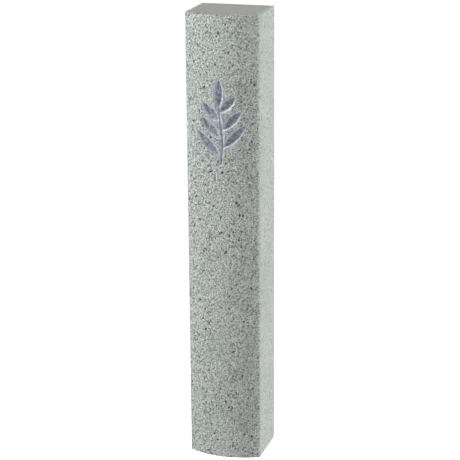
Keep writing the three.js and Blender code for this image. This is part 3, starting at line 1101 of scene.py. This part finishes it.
def liner_material():
    """Siliconed paper: a warm cream sheet with a fine mottled grain, faint stains and a soft sheen."""
    n = Nodes("liner_paper")
    mottle = n.noise(0.9, 6.0, 0.7)
    colour = n.mix(n.remap(mottle, 0.3, 0.7), linear(214, 203, 168), linear(228, 219, 192))
    stain = n.remap(n.noise(0.08, 3.0), 0.5, 0.7, 0.0, 0.25)
    colour = n.mix(stain, colour, linear(194, 180, 142))
    n.link(colour, n.shader.inputs["Base Color"])
    n.link(n.remap(mottle, 0.3, 0.7, 0.38, 0.52), n.shader.inputs["Roughness"])
    n.shader.inputs["Coat Weight"].default_value = 0.15
    n.link(n.bump(mottle, 0.03 * MM), n.shader.inputs["Normal"])
    return n.material


# ---------------------------------------------------------------- stage, light and camera
FLOOR_BELOW = 165 * MM
FLOOR_SIZE = 1.6
FLOOR_COLOUR = (0.92, 0.92, 0.92, 1)
FLOOR_GLOW = 0.57
WHITE = (1, 1, 1, 1)
BACKDROP = 1.03
BACKDROP_TOP = 0.12
SKY = 0.02
SKY_START = 0.3
OVERHEAD_WIDTH = math.radians(60)
OVERHEAD_STRENGTH = 0.9


def make_floor():
    """A plain pale floor, far enough below for the stopper and the scroll to be drawn out above it.

    It glows a little, so that it looks as white as the backdrop."""
    half = FLOOR_SIZE / 2
    corners = [(-half, -half), (half, -half), (half, half), (-half, half)]
    floor = new_object("studio_floor", [(x, y, -FLOOR_BELOW) for x, y in corners], [(0, 1, 2, 3)])
    material = bpy.data.materials.new("pale_floor")
    material.use_nodes = True
    shader = material.node_tree.nodes["Principled BSDF"]
    shader.inputs["Base Color"].default_value = FLOOR_COLOUR
    shader.inputs["Roughness"].default_value = 1.0
    shader.inputs["Specular IOR Level"].default_value = 0.0
    shader.inputs["Emission Color"].default_value = WHITE
    shader.inputs["Emission Strength"].default_value = FLOOR_GLOW
    floor.data.materials.append(material)


def make_world():
    """White to a little above the horizon, as a backdrop, and dim overhead, so the lamps shape the case."""
    world = bpy.data.worlds.new("studio")
    world.use_nodes = True
    tree = world.node_tree
    direction = tree.nodes.new("ShaderNodeTexCoord").outputs["Generated"]
    parts = tree.nodes.new("ShaderNodeSeparateXYZ")
    tree.links.new(direction, parts.inputs[0])
    fade = tree.nodes.new("ShaderNodeMapRange")
    fade.interpolation_type = "SMOOTHSTEP"
    tree.links.new(parts.outputs["Z"], fade.inputs["Value"])
    fade.inputs["From Min"].default_value = BACKDROP_TOP
    fade.inputs["From Max"].default_value = SKY_START
    fade.inputs["To Min"].default_value = BACKDROP
    fade.inputs["To Max"].default_value = SKY
    tree.links.new(fade.outputs[0], tree.nodes["Background"].inputs["Strength"])
    tree.nodes["Background"].inputs["Color"].default_value = WHITE
    bpy.context.scene.world = world


def area_light(name, azimuth, elevation, distance, size, power):
    """A soft panel aimed at the case's middle. Azimuth 0 is in front and 90 on the right, in degrees."""
    a = math.radians(azimuth)
    e = math.radians(elevation)
    away = Vector((math.sin(a) * math.cos(e), -math.cos(a) * math.cos(e), math.sin(e)))
    data = bpy.data.lights.new(name, "AREA")
    data.size = size
    data.energy = power
    light = bpy.data.objects.new(name, data)
    light.location = Vector((0, 0, HEIGHT / 2)) + away * distance
    light.rotation_mode = "QUATERNION"
    light.rotation_quaternion = (-away).to_track_quat("-Z", "Y")
    bpy.context.scene.collection.objects.link(light)


def overhead_light():
    """A wide soft light from straight above, the same all over the floor."""
    data = bpy.data.lights.new("overhead", "SUN")
    data.angle = OVERHEAD_WIDTH
    data.energy = OVERHEAD_STRENGTH
    light = bpy.data.objects.new("overhead", data)
    bpy.context.scene.collection.objects.link(light)


def make_lights():
    """A key that rakes the front from the left, a soft panel on the right and a small one high in front."""
    area_light("key_left", azimuth=-70, elevation=27, distance=0.6, size=0.1, power=4.7)
    area_light("side_right", azimuth=108, elevation=12, distance=0.8, size=0.45, power=5.5)
    area_light("front_high", azimuth=15, elevation=52, distance=0.32, size=0.14, power=0.43)
    overhead_light()


CAMERA_AZIMUTH = math.radians(16.965)
CAMERA_ELEVATION = math.radians(16.901)
CAMERA_ROLL = math.radians(-0.442)
CAMERA_DISTANCE = 0.55472
CAMERA_RIGHT = 0.52 * MM
CAMERA_UP = -1.41 * MM
CAMERA_LENS = 131.42
SENSOR_WIDTH = 36
NEAR_LIMIT = 0.01


def make_camera():
    """At the photograph's angle: right of the front and a little above the top end."""
    a = CAMERA_AZIMUTH
    e = CAMERA_ELEVATION
    forward = Vector((-math.sin(a) * math.cos(e), math.cos(a) * math.cos(e), -math.sin(e)))
    right = Vector((math.cos(a), math.sin(a), 0))
    up = right.cross(forward)
    aim = Vector((0, (CORNER_Y + BACK_Y) / 2, HEIGHT / 2))
    place = aim - forward * CAMERA_DISTANCE - right * CAMERA_RIGHT - up * CAMERA_UP
    across = right * math.cos(CAMERA_ROLL) + up * math.sin(CAMERA_ROLL)
    upward = up * math.cos(CAMERA_ROLL) - right * math.sin(CAMERA_ROLL)
    data = bpy.data.cameras.new("camera")
    data.lens = CAMERA_LENS
    data.sensor_width = SENSOR_WIDTH
    data.clip_start = NEAR_LIMIT
    camera = bpy.data.objects.new("camera", data)
    turn = Matrix((across, upward, -forward)).transposed()
    camera.matrix_world = Matrix.Translation(place) @ turn.to_4x4()
    bpy.context.scene.collection.objects.link(camera)
    bpy.context.scene.camera = camera


# ---------------------------------------------------------------- the scene
make_camera()
make_world()
make_lights()
make_floor()
bpy.context.scene.view_settings.view_transform = "Standard"

make_case_body(stone_material())
make_emblem_paint(paint_material())
make_stopper(rubber_material())
make_scroll(parchment_material())
make_sleeve(film_material())
foam = foam_material()
liner = liner_material()
make_pad("upper_foam", "upper_pad", foam)
make_pad("lower_foam", "lower_pad", foam)
make_liner("upper_release_liner", "upper_liner", "upper_liner", liner)
make_liner("lower_release_liner", "lower_liner", "lower_liner", liner)
